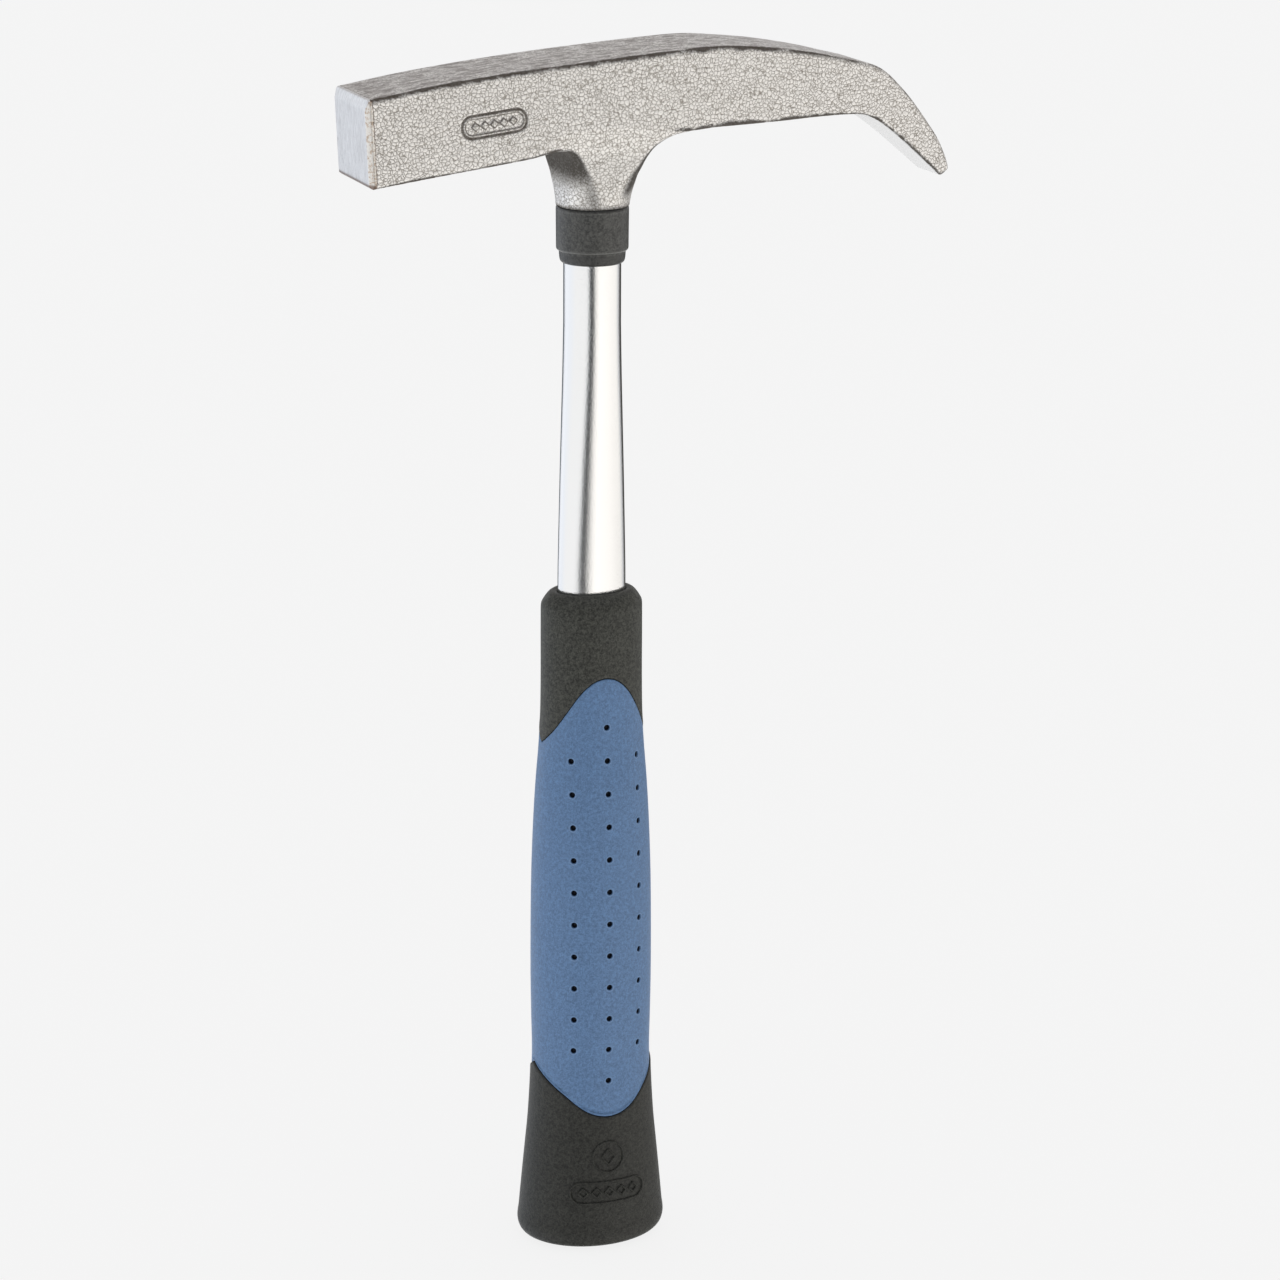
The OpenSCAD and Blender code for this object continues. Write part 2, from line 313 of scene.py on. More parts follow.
def moulded(name, base, light, rough, grain_mm, strength, spec=0.5, fleck=0.5, holes=False, painted_upper_light=None, lines=False):
    m = Nodes(name)
    g = m.noise(1.0 / (grain_mm * MM), 3, 0.65)
    g2 = m.noise(0.45 / (grain_mm * MM), 2, 0.6)
    b = m.noise(45, 3, 0.55)
    col = m.mix(m.ramp(b, [(0.3, (0, 0, 0)), (0.7, (1, 1, 1))]), base, light)
    tone = m.ramp(m.math("ADD", m.math("MULTIPLY", g, 0.6), m.math("MULTIPLY", g2, 0.4)), [(0.40, (0, 0, 0)), (0.61, (1, 1, 1))])
    low = tuple(c * (1 - 0.55 * fleck) for c in base)
    high = tuple(min(1, c * (1 + 0.75 * fleck) + 0.006 * fleck) for c in light)
    col = m.mix(0.75, col, m.mix(tone, low, high))
    # painted light: the upper part, with the sleeve, made lighter, fading in from 70 to 130 mm up
    if painted_upper_light is not None:
        sep = m.add("ShaderNodeSeparateXYZ")
        m.link(m.tc.outputs["Object"], sep.inputs[0])
        up = m.ramp(sep.outputs["Z"], [(0.07, (0, 0, 0)), (0.13, (1, 1, 1))])
        col = m.mix(m.math("MULTIPLY", up, 1.0), col, m.mix(1.0, col, painted_upper_light, "MULTIPLY"))
    if lines:
        painted_collar_shade = m.add("ShaderNodeAttribute", attribute_name="painted_collar_shade").outputs["Fac"]
        edge = m.add("ShaderNodeAttribute", attribute_name="edge").outputs["Fac"]
        # painted highlight along the shoulder and under the top of the collar
        col = m.mix(m.math("MULTIPLY", edge, 0.6), col, (0.24, 0.24, 0.23))
        # painted shade at the joint with the head and on the lip below the shoulder
        col = m.mix(m.math("MULTIPLY", painted_collar_shade, 0.9), col, (0.008, 0.008, 0.007))
    if holes:
        deep = m.add("ShaderNodeAttribute", attribute_name="deep").outputs["Fac"]
        # painted highlight on the raised rim round each dimple
        painted_rim_highlight = m.ramp(m.math("MULTIPLY", deep, -13.0), [(0.15, (0, 0, 0)), (0.8, (0.7, 0.7, 0.7))])
        col = m.mix(painted_rim_highlight, col, (0.20, 0.335, 0.56))
        # painted shade inside the dimples
        col = m.mix(m.ramp(deep, [(0.08, (0, 0, 0)), (0.45, (1, 1, 1))]), col, (0.008, 0.011, 0.020))
    r = m.lerp(g, rough - 0.08, rough + 0.08)
    m.out(Base_Color=col, Roughness=r, Normal=m.bump(m.math("ADD", g, m.math("MULTIPLY", g2, 0.8)), strength, grain_mm * 0.30))
    m.bsdf.inputs["Specular IOR Level"].default_value = spec
    return m.mat


mat_head = head_paint()
mat_chrome = chrome()
mat_collar = moulded("collar_plastic", (0.033, 0.0335, 0.0305), (0.043, 0.0435, 0.0395), 0.36, 0.46, 1.0, 0.75, 1.7, lines=True)
# the grip body's upper part and sleeve get painted light
mat_black = moulded("grip_hard_plastic", (0.0145, 0.0150, 0.0122), (0.0205, 0.0210, 0.0172), 0.50, 0.38, 1.0, 0.44, 1.5, painted_upper_light=(1.85, 1.86, 1.85))
mat_blue = moulded("grip_soft_elastomer", (0.104, 0.203, 0.385), (0.121, 0.233, 0.430), 0.46, 0.35, 0.7, 0.55, 0.42, True)
mat_plug_steel = moulded("plug_steel", (0.42, 0.42, 0.43), (0.52, 0.52, 0.53), 0.38, 0.25, 0.3)
mat_plug_steel.node_tree.nodes["Principled BSDF"].inputs["Metallic"].default_value = 1.0
mat_plug_plastic = moulded("plug_plastic", (0.02, 0.02, 0.02), (0.03, 0.03, 0.03), 0.55, 0.3, 0.4)

# --------------------------------------------------------------------- head

NECK_Z = 265.4
TOP = [(-66, 293.75), (-59, 294.9), (-42, 297.6), (-20, 300.15), (2, 302.0), (18, 303.2),
       (27, 303.6), (33, 303.25), (44, 302.15), (55, 300.25), (63, 298.35), (68.5, 296.95),
       (72.3, 295.0), (75.8, 292.0), (79.8, 287.9), (84.2, 282.5), (87.6, 277.9), (89.7, 273.9),
       (90.7, 271.3)]
TIP = [(90.95, 270.55), (90.85, 270.0), (90.35, 269.55), (89.3, 268.8), (88.75, 268.6), (88.2, 268.8), (87.5, 269.4)]
UNDER_R = [(87.5, 269.4), (83.1, 273.25), (79, 276.75), (74.6, 280.3), (71.2, 282.7), (68.6, 284.1),
           (66, 284.95), (61, 285.25), (53, 285.15), (44, 284.8), (34, 284.55), (27, 284.4), (24, 284.2),
           (19.7, 283.8), (16.1, 283.2), (13.8, 282.3), (12.2, 281.3), (11.0, 280.1), (10.2, 278.6), (9.7, 277),
           (9.5, 275.6), (9.2, 273), (9.04, 269.8), (8.85, 267), (8.72, 265.0), (8.7, 256)]
UNDER_L = [(-8.65, 256), (-8.65, 265.0), (-8.66, 268), (-8.68, 271.5), (-8.7, 274.6), (-8.78, 276.6), (-9.05, 278.2),
           (-9.8, 279.5), (-11.2, 280.35), (-13.4, 280.6), (-16.5, 280.05), (-20.4, 279.25), (-28, 278.2), (-44.7, 276.0),
           (-57.8, 274.2), (-66, 273.05)]
outline = np.vstack([spline(TOP, 10), spline(TIP, 4)[1:-1], spline(UNDER_R, 8), spline(UNDER_L, 8)])

plan = table([(-70, 12.8), (-57.5, 12.8), (-40, 13.05), (-20, 13.45), (2, 13.72), (24, 13.2), (40, 12.0),
              (55, 10.6), (70, 8.9), (82, 7.3), (90, 6.2), (94, 5.6)])
neck_b = table([(262, 8.68), (265.4, 8.7), (268, 8.98), (270, 9.4), (272, 9.95), (274, 10.6), (276, 11.35),
                (278, 12.1), (280, 12.75), (282, 13.25), (285, 13.64), (288, 13.78), (310, 13.8)])
neck_r = table([(262, 8.6), (265.4, 8.6), (268, 8.2), (270, 7.4), (271.6, 6.5), (273.3, 5.7), (274.7, 4.6), (276.1, 3.6),
                (277.6, 2.75), (278.8, 2.15), (279.6, 1.8), (280.2, 1.6), (281.5, 1.25), (283.5, 1.0), (310, 1.0)])

# distance to the side outline, tabulated on a fine grid
GX = np.arange(-67, 94.01, 0.25)
GZ = np.arange(255, 309.01, 0.25)


def outline_distance():
    px, pz = np.meshgrid(GX, GZ, indexing="ij")
    px, pz = px.ravel(), pz.ravel()
    best = np.full(px.shape, 1e9)
    inside = np.zeros(px.shape, bool)
    a = outline
    b = np.roll(outline, -1, axis=0)
    for (ax, az), (bx, bz) in zip(a, b):
        ex, ez = bx - ax, bz - az
        l2 = ex * ex + ez * ez
        if l2 < 1e-12:
            continue
        wx, wz = px - ax, pz - az
        t = np.clip((wx * ex + wz * ez) / l2, 0, 1)
        best = np.minimum(best, (wx - ex * t) ** 2 + (wz - ez * t) ** 2)
        cross = (az > pz) != (bz > pz)
        if ez != 0:
            inside ^= cross & (px < ax + (pz - az) * ex / ez)
    d = np.sqrt(best)
    d[inside] *= -1
    return d.reshape(len(GX), len(GZ))


D2 = outline_distance()


def side_distance(x, z):
    fx = np.clip((x - GX[0]) / 0.25, 0, len(GX) - 1.001)
    fz = np.clip((z - GZ[0]) / 0.25, 0, len(GZ) - 1.001)
    i, k = fx.astype(int), fz.astype(int)
    u, w = fx - i, fz - k
    return (D2[i, k] * (1 - u) * (1 - w) + D2[i + 1, k] * u * (1 - w)
            + D2[i, k + 1] * (1 - u) * w + D2[i + 1, k + 1] * u * w)


def rmax(a, b, r):
    """The larger of two distances, with the edge between them rounded to r."""
    a2, b2 = a + r, b + r
    return np.minimum(np.maximum(a2, b2), 0) + np.hypot(np.maximum(a2, 0), np.maximum(b2, 0)) - r


def plate_relief(x, z, lines=False):
    """Depth of the plain decorative plate sunk in one cheek: a rounded oblong with a row of lozenges."""
    al = math.radians(6.9)
    dx, dz = x + 29.1, z - 288.0
    u = dx * math.cos(al) + dz * math.sin(al)
    v = -dx * math.sin(al) + dz * math.cos(al)
    rc = 2.7
    qx, qz = np.abs(u) - (8.1 - rc), np.abs(v) - (2.85 - rc)
    d = np.hypot(np.maximum(qx, 0), np.maximum(qz, 0)) + np.minimum(np.maximum(qx, qz), 0) - rc
    s = lambda t, w=0.14: smooth(0.5 - t / (2 * w))
    groove = s(d) * (1 - s(d + 0.50))
    floor = s(d + 1.02)
    loz = np.full(x.shape, 1e9)
    for c in (-4.6, -2.3, 0, 2.3, 4.6):
        loz = np.minimum(loz, np.abs(u - c) / 1.0 + np.abs(v) / 1.0 - 1)
    floor = floor * (1 - s(loz * 0.7, 0.13))
    # with lines, the mask of the painted shade along the grooves and lozenges
    if lines:
        near = lambda t, w: np.exp(-(t / w) ** 2)
        within = s(d + 0.9)
        return np.maximum(np.maximum(near(d + 0.25, 0.30), 0.8 * near(d + 1.02, 0.2)), 0.85 * near(loz * 0.7, 0.2) * within)
    return 0.46 * groove + 0.36 * floor


def face_x(z):
    return -59.66 - 0.0425 * (z - 284.0)


def face_cut(x, y, z, part=False):
    fx = face_x(z)
    f = (fx - x) * 0.9991
    top = (x + 60.02) * -0.9445 + (z - 292.5) * 0.3285
    bot = (x - fx) * -0.6 + (z - 274.75) * -0.8
    side = (x - fx) * -0.7071 + (np.abs(y) - 11.72) * 0.7071
    if part:
        return side - np.maximum(f, top)
    return rmax(rmax(rmax(f, top, 0.12), bot, 0.12), side, 0.12)


def head_distance(x, y, z, d1=None):
    if d1 is None:
        d1 = side_distance(x, z)
    w = np.where(x < 0, smooth((x + 18.5) / 8.5), smooth((25 - x) / 13.0))
    h = plan(x)[0]
    t = h - (h - np.minimum(neck_b(z)[0], h)) * w
    t = np.where(y < 0, t - plate_relief(x, z), t)
    edge = 0.65 + 0.5 * smooth((z - 284) / 6) * (1 - smooth((x - 58) / 14))
    r = edge + (neck_r(z)[0] - 1.0) * w
    d = rmax(d1, np.abs(y) - t, np.maximum(r, 0.4))
    d = rmax(d, NECK_Z - z, 0.35)
    bore = np.maximum(np.hypot(x, y) - 7.45, z - 294.0)
    d = np.maximum(d, -bore)
    return rmax(d, face_cut(x, y, z), 0.12)


def steps(*spans):
    out = [spans[0][0]]
    for a, b, h in spans:
        n = max(1, int(round((b - a) / h)))
        out += list(a + (b - a) * np.arange(1, n + 1) / n)
    return np.array(out)


def surface_nets(D, xs, ys, zs):
    """Closed quad mesh of D = 0 on a grid of uneven steps."""
    ins = D < 0
    shape = tuple(s - 1 for s in D.shape)
    S = np.zeros(shape + (3,))
    C = np.zeros(shape)
    axes = (xs, ys, zs)
    for ax in range(3):
        lo = [slice(None)] * 3
        hi = [slice(None)] * 3
        lo[ax], hi[ax] = slice(0, -1), slice(1, None)
        a, b = D[tuple(lo)], D[tuple(hi)]
        cross = ins[tuple(lo)] != ins[tuple(hi)]
        idx = np.nonzero(cross)
        t = a[idx] / (a[idx] - b[idx])
        pos = np.stack([axes[k][idx[k]] for k in range(3)], -1).astype(float)
        pos[:, ax] += t * (axes[ax][idx[ax] + 1] - axes[ax][idx[ax]])
        o1, o2 = [k for k in range(3) if k != ax]
        for s1 in (0, 1):
            for s2 in (0, 1):
                c = list(idx)
                c[o1] = idx[o1] - s1
                c[o2] = idx[o2] - s2
                ok = (c[o1] >= 0) & (c[o2] >= 0) & (c[o1] < shape[o1]) & (c[o2] < shape[o2])
                cc = tuple(v[ok] for v in c)
                np.add.at(S, cc, pos[ok])
                np.add.at(C, cc, 1)
    cell = C > 0
    index = np.full(shape, -1)
    index[cell] = np.arange(cell.sum())
    verts = S[cell] / C[cell][:, None]
    faces = []
    for ax in range(3):
        lo = [slice(None)] * 3
        hi = [slice(None)] * 3
        lo[ax], hi[ax] = slice(0, -1), slice(1, None)
        cross = ins[tuple(lo)] != ins[tuple(hi)]
        idx = np.nonzero(cross)
        o1, o2 = (ax + 1) % 3, (ax + 2) % 3
        ok = (idx[o1] > 0) & (idx[o2] > 0) & (idx[o1] < shape[o1]) & (idx[o2] < shape[o2])
        idx = tuple(v[ok] for v in idx)
        quad = []
        for s1, s2 in ((1, 1), (0, 1), (0, 0), (1, 0)):
            c = list(idx)
            c[o1] = idx[o1] - s1
            c[o2] = idx[o2] - s2
            quad.append(index[tuple(c)])
        q = np.stack(quad, -1)
        flip = ~ins[idx]
        q[flip] = q[flip][:, ::-1]
        faces.append(q)
    return verts, np.vstack(faces)


def build_head():
    xs = steps((-61.4, -57.2, 0.25), (-57.2, -38.2, 0.5), (-38.2, -20, 0.2), (-20, 92.4, 0.5))
    ys = steps((-14.6, -11.4, 0.36), (-11.4, 11.4, 0.5), (11.4, 14.6, 0.36))
    zs = steps((264.3, 284.1, 0.5), (284.1, 291.9, 0.2), (291.9, 304.9, 0.45))
    X, Z = np.meshgrid(xs, zs, indexing="ij")
    d1 = side_distance(X, Z)[:, None, :]
    D = head_distance(X[:, None, :], ys[None, :, None], Z[:, None, :], d1)
    D = np.broadcast_to(D, (len(xs), len(ys), len(zs)))
    v, f = surface_nets(D, xs, ys, zs)
    for _ in range(3):
        d = head_distance(v[:, 0], v[:, 1], v[:, 2])
        g = np.zeros_like(v)
        h = 0.03
        for k in range(3):
            p, q = v.copy(), v.copy()
            p[:, k] += h
            q[:, k] -= h
            g[:, k] = (head_distance(p[:, 0], p[:, 1], p[:, 2]) - head_distance(q[:, 0], q[:, 1], q[:, 2])) / (2 * h)
        g2 = np.maximum((g * g).sum(1), 0.2)
        move = -(d / g2)[:, None] * g
        length = np.linalg.norm(move, axis=1, keepdims=True)
        v = v + move * np.minimum(1, 0.2 / np.maximum(length, 1e-9))
    ob = make_object("forged_head", v, f, mat_head)
    x, y, z = v.T
    n = g / np.maximum(np.linalg.norm(g, axis=1, keepdims=True), 1e-9)
    fc = face_cut(x, y, z)
    ground = np.where(x > -55, 0.0, np.clip((fc + 0.80) / 0.80, 0, 1))
    bevel = np.where(x > -55, 0.0, np.clip(0.5 + face_cut(x, y, z, True) / 0.5, 0, 1))
    # distance from the outline across the cheek, measured in widths of the painted dark edge reflection
    upper = n[:, 2] > -0.05
    along = np.clip((x - 30) / 45, 0, 1)
    wide = np.where(z > 284 + 0 * x, 1.25 * (1 - smooth(along)) + 0.42 * smooth(along), 0.40)
    below_beak = (x > 66) & (z < 284.5) & (side_distance(x + 0.8, z + 0.8) < side_distance(x, z))
    wide = np.where(below_beak, 0.80, wide)
    wide = np.where(z < 283.8, np.where(x > 60, wide, np.where(x < -12, 0.72, 0.12)), wide)
    # faces turned away from the cheeks also get the painted dark edge reflection
    reach = -side_distance(x, z) + 3.0 * np.clip(0.62 - np.abs(n[:, 1]), 0, 1)
    painted_edge_reflection = np.clip(reach / wide, 0, 3)
    painted_edge_reflection = np.where((z < 283.2) & (np.abs(x) < 8.0) | (z < 276) & (np.abs(x) < 20), 3.0, painted_edge_reflection)
    dent = np.where(y < 0, plate_relief(x, z, True), 0.0)
    # painted shade in the hollow under each arm and beside the collar, and painted dark reflections down the neck
    near = (z < 283.6) & (np.abs(x) < 16)
    # painted shade on the faces turned to -x, under that arm
    shade = smooth((-n[:, 0] + 0.02) / 0.26) * smooth((z - 268.8) / 7.0)
    side = smooth((np.abs(y) - 3.5) / 5.0)
    # painted dark reflection on the faces turned to +x below the arms
    shade = np.maximum(shade, side * smooth((n[:, 0] - 0.55 * n[:, 2] - 0.42) / 0.35) * smooth((z - 266.5) / 3.5))
    # painted dark reflection in a band down the neck
    shade = np.maximum(shade, 0.50 * np.exp(-((n[:, 0] + 0.26) / 0.20) ** 2) * (1 - smooth((z - 277) / 4)))
    shade = np.where(near, shade, 0.0) * (1 - smooth((z - 281.2) / 2.4) * (x > 0))
    # painted shade at the joint with the collar
    shade = np.maximum(shade, 0.8 * smooth((266.35 - z) / 0.6))
    # upward faces, which get the painted dark reflection
    top = np.clip((n[:, 2] - 0.45) / 0.3, 0, 1)
    foot = np.where(x < -55, smooth((275.55 - z) / 0.55), 0.0)
    # downward faces under the pick, which get the painted light reflection
    belly = smooth((-n[:, 2] - 0.25) / 0.25) * smooth((x - 61) / 5) * (reach < 2.4)
    for name, val in (("ground", ground), ("bevel", bevel), ("painted_edge_reflection", painted_edge_reflection), ("dent", dent), ("shade", shade),
                      ("top", top), ("foot", foot), ("belly", belly)):
        at = ob.data.attributes.new(name, "FLOAT", "POINT")
        at.data.foreach_set("value", np.asarray(val, np.float32))
    return ob


head = build_head()

# ------------------------------------------------------------- collar, tube


def lathe(profile, n=96):
    ang = np.arange(n) * 2 * math.pi / n
    return [[(r * math.cos(a), r * math.sin(a), z) for a in ang] for r, z in profile]


def build_collar():
    outer = [(6.97, 251.72), (7.25, 251.75), (7.50, 251.88), (7.70, 252.12), (7.84, 252.5), (7.92, 253.0), (7.97, 253.6),
             (8.00, 254.1), (8.01, 254.4), (8.03, 254.56), (8.10, 254.66), (8.28, 254.74), (8.48, 254.86),
             (8.60, 255.0), (8.66, 255.2), (8.69, 255.5), (8.70, 256.0), (8.71, 258), (8.73, 260.5), (8.75, 263), (8.76, 264.3), (8.76, 264.5), (8.75, 264.72),
             (8.74, 264.9), (8.66, 265.2), (8.52, 265.36), (8.3, 265.4), (7.44, 265.4), (7.44, 291.0), (6.97, 291.0)]
    p = []
    for a, b in zip(outer[:-1], outer[1:]):
        p.append(a)
    p.append(outer[-1])
    v, f = ring_skin(lathe(p), loop=True)
    ob = make_object("collar", v, f, mat_collar)
    z = np.array(v)[:, 2]
    # the first mask is a painted highlight along the shoulder and under the top; the second is painted shade at the
    # joint with the head and on the lip
    for name, val in (("edge", np.exp(-((z - 254.98) / 0.17) ** 2) + 0.3 * np.exp(-((z - 264.5) / 0.15) ** 2)),
                      ("painted_collar_shade", smooth((z - 264.75) / 0.3) + np.where(z < 254.4, 0.6, 0.0))):
        at = ob.data.attributes.new(name, "FLOAT", "POINT")
        at.data.foreach_set("value", np.clip(val, 0, 1).astype(np.float32))
    return ob


collar = build_collar()

tube_ab = table([(5, 8.65, 5.82), (150, 8.65, 5.82), (172, 8.62, 5.84), (180, 8.50, 5.92), (195.4, 8.12, 6.18),
                 (205.4, 7.83, 6.38), (215.3, 7.52, 6.6), (225, 7.22, 6.80), (235, 7.0, 6.92), (242, 6.95, 6.95),
                 (300, 6.95, 6.95)])


def build_tube():
    n = 128
    ang = np.arange(n) * 2 * math.pi / n

    def ring(z, g):
        a, b = tube_ab(z)
        return [((a + g) * math.cos(t), (b + g) * math.sin(t), z) for t in ang]

    zs = list(np.linspace(12.3, 170, 20)) + list(np.linspace(172, 250, 66)) + list(np.linspace(252, 292.7, 12))
    rows = [ring(12.0, -0.3)] + [ring(z, 0) for z in zs] + [ring(293.0, -0.3)]
    rows += [ring(293.0, -0.9)] + [ring(z, -1.2) for z in reversed(zs[::2])] + [ring(12.0, -0.9)]
    v, f = ring_skin(rows, loop=True)
    return make_object("tube", v, f, mat_chrome)


tube = build_tube()

# --------------------------------------------------------------------- grip

grip_ab = table([(-1, 16, 13), (3.6, 18.88, 15.78), (8, 18.65, 15.62), (18, 17.7, 14.95), (26, 16.9, 14.3),
                 (34, 16.1, 13.6), (42, 15.45, 13.1), (50, 15.15, 12.9), (60, 15.3, 13.3), (72, 15.42, 13.52),
                 (88, 15.32, 13.56), (100, 15.08, 13.36), (112, 14.6, 12.86), (122, 14.0, 12.2),
                 (131, 13.3, 11.4), (140, 12.88, 10.8), (150, 12.78, 10.38), (160, 12.8, 10.1), (172, 12.75, 9.9)])
top_edge = table([(-9, 149.9), (0, 150.2), (9, 149.9), (16, 149.1), (23, 147.9), (30, 146.3), (36, 144.6),
                  (44, 142.2), (52, 139.9), (57, 138.5), (66, 136.3), (78, 134.1), (85, 133.1), (90, 132.5)])
low_edge = table([(-6, 36.02), (0, 35.9), (6, 36.02), (12, 36.4), (18, 37.0), (25, 38.05), (31, 39.15),
                  (41.5, 41.2), (50, 42.6), (61, 44.3), (74, 46.1), (84, 47.3), (90, 48.0)])


def fold(phi):
    p = np.abs((np.asarray(phi, float) + 180) % 360 - 180)
    return np.where(p > 90, 180 - p, p)


def on_grip(phi, z, g=0.0):
    a, b = grip_ab(z)
    t = np.radians(phi)
    return np.stack([(a + g) * np.sin(t), -(b + g) * np.cos(t), np.asarray(z, float) + 0 * t], -1)


COL_X, DIMPLE_HALF = 8.65, 1.3


def columns(a, b):
    """Angles round the section, with close columns each side of the dimples."""
    p1 = math.asin(COL_X / a)
    d0 = DIMPLE_HALF / a
    d1 = DIMPLE_HALF / math.hypot(a * math.cos(p1), b * math.sin(p1))
    q = [0, d0 / 2, d0] + list(d0 + (p1 - d1 - d0) * np.arange(1, 7) / 6)
    q += [p1 - d1 / 2, p1, p1 + d1 / 2, p1 + d1]
    q += list(p1 + d1 + (math.pi / 2 - p1 - d1) * np.arange(1, 9) / 8)
    q = np.degrees(q)                                   # 0 .. 90, 21 values
    front = np.concatenate([-q[::-1], q[1:]])           # -90 .. 90, 41 values
    return np.concatenate([front, 180 - front[::-1][1:-1]])  # 80 in all


def build_cover():
    """Soft cover: even rows between the dimples, bent to meet its rounded ends."""
    rows_z = [137.9 - 8.4 * i for i in range(12)]
    lines = []                                          # (kind, value, g, s)
    # straight part, from below row 10 to above row 1
    zc = [50.4, 51.5]
    for i in range(10, 0, -1):
        z0 = rows_z[i]
        zc += [z0 - 1.3, z0 - 0.65, z0, z0 + 0.65, z0 + 1.3]
        if i > 1:
            zc += list(z0 + 1.3 + 5.8 * np.arange(1, 5) / 5)
    lo_line, hi_line = zc[0], zc[-1]
    hi_c = list(hi_line + (136.6 - hi_line) * np.arange(1, 5) / 5) + [136.6, 137.25, 137.9, 138.55, 139.2]
    hi_c += list(139.2 + (149.4 - 139.2) * np.arange(1, 10) / 9)
    lo_c = list(lo_line - (lo_line - 46.8) * np.arange(1, 4) / 4) + [46.8, 46.15, 45.5, 44.85, 44.2]
    lo_c += list(44.2 - (44.2 - 36.7) * np.arange(1, 8) / 7)
    rows, kinds = [], []

    def squeeze(z, psi):
        m_hi = 1 - 0.45 * smooth((psi - 50) / 40)
        m_lo = 1 - 0.42 * smooth((psi - 50) / 40)
        z = np.where(z > 117, 117 + (z - 117) * m_hi, z)
        return np.where(z < 62, 62 - (62 - z) * m_lo, z)

    def add(zfun, g, zref):
        a, b = grip_ab(zref)
        phi = columns(float(a), float(b))
        psi = fold(phi)
        z = zfun(psi)
        rows.append((phi, z, g + 0 * z))

    edge_hi = [(0.8, -0.01), (0.45, -0.03), (0.22, -0.09), (0.10, -0.22), (0.05, -0.6)]
    edge_lo = [(0.8, 0.0), (0.4, -0.02), (0.18, -0.07), (0.09, -0.20), (0.05, -0.60)]
    for s, g in reversed(edge_lo):
        add(lambda p, s=s: low_edge(p)[0] + s, g, 40)
    for c in reversed(lo_c):
        f = (lo_line - c) / (lo_line - 36.7)
        add(lambda p, f=f: squeeze(lo_line + 0 * p, p) + f * (low_edge(p)[0] + 0.8 - squeeze(lo_line + 0 * p, p)),
            0.0, c)
    for z in zc:
        add(lambda p, z=z: squeeze(z + 0 * p, p), 0.0, z)
    for c in hi_c:
        f = (c - hi_line) / (149.4 - hi_line)
        add(lambda p, f=f: squeeze(hi_line + 0 * p, p) + f * (top_edge(p)[0] - 0.8 - squeeze(hi_line + 0 * p, p)),
            -0.03 * f ** 6, c)
    for s, g in edge_hi[1:]:
        add(lambda p, s=s: top_edge(p)[0] - s, g, 145)
    n_outer = len(rows)
    add(lambda p: top_edge(p)[0] - 0.12, -2.2, 145)
    for f in (0.8, 0.6, 0.4, 0.2):
        add(lambda p, f=f: low_edge(p)[0] + 0.12 + f * (top_edge(p)[0] - low_edge(p)[0] - 0.24), -2.2, 40 + 105 * f)
    add(lambda p: low_edge(p)[0] + 0.12, -2.2, 40)
    pts = [list(map(tuple, on_grip(phi, z, g))) for phi, z, g in rows]
    base = len(edge_lo)
    zline = {round(float(c), 3): base + k for k, c in enumerate(list(reversed(lo_c)) + zc + hi_c)}
    skip, holes = set(), []
    for i, z0 in enumerate(rows_z):
        r = zline[round(z0, 3)]
        cols = [20, 60] if i in (0, 11) else [20, 60, 10, 30, 50, 70]
        for c in cols:
            holes.append((r, c))
            for a in range(-2, 2):
                for b in range(-2, 2):
                    skip.add((r + a, (c + b) % 80))
    verts, faces = ring_skin(pts, loop=True, skip=skip)
    profile = [(1.24, 0.0), (1.08, 0.04), (0.94, 0.075), (0.83, 0.045), (0.745, -0.08), (0.70, -0.42), (0.62, -0.95), (0.34, -1.25)]
    around = [(2, b) for b in range(-2, 2)] + [(-b, 2) for b in range(-2, 2)] \
        + [(-2, -b) for b in range(-2, 2)] + [(b, -2) for b in range(-2, 2)]
    for r, c in holes:
        phi, z, _ = rows[r]
        pc, z0 = phi[c % 80], z[c % 80]
        a, b = (float(q) for q in grip_ab(z0))
        ds = math.hypot(a * math.cos(math.radians(pc)), b * math.sin(math.radians(pc)))
        prev = [(r + dz) * 80 + (c + dc) % 80 for dc, dz in around]
        for rad, g in profile:
            ring = []
            for dc, dz in around:
                an = math.atan2(dz, dc)
                p = on_grip(pc + math.degrees(rad * math.cos(an) / ds), z0 + rad * math.sin(an), g)
                verts.append(tuple(p))
                ring.append(len(verts) - 1)
            for k in range(16):
                faces.append([prev[k], prev[(k + 1) % 16], ring[(k + 1) % 16], ring[k]])
            prev = ring
        verts.append(tuple(on_grip(pc, z0, -1.3)))
        for k in range(16):
            faces.append([prev[k], prev[(k + 1) % 16], len(verts) - 1])
    verts, faces = prune(verts, faces)
    ob = make_object("soft_cover", verts, faces, mat_blue)
    v = np.array(verts)
    a, b = grip_ab(v[:, 2])
    under = (1 - np.hypot(v[:, 0] / a, v[:, 1] / b)) * (a + b) / 2
    at = ob.data.attributes.new("deep", "FLOAT", "POINT")
    at.data.foreach_set("value", np.clip(under, -0.2, 1).astype(np.float32))
    return ob


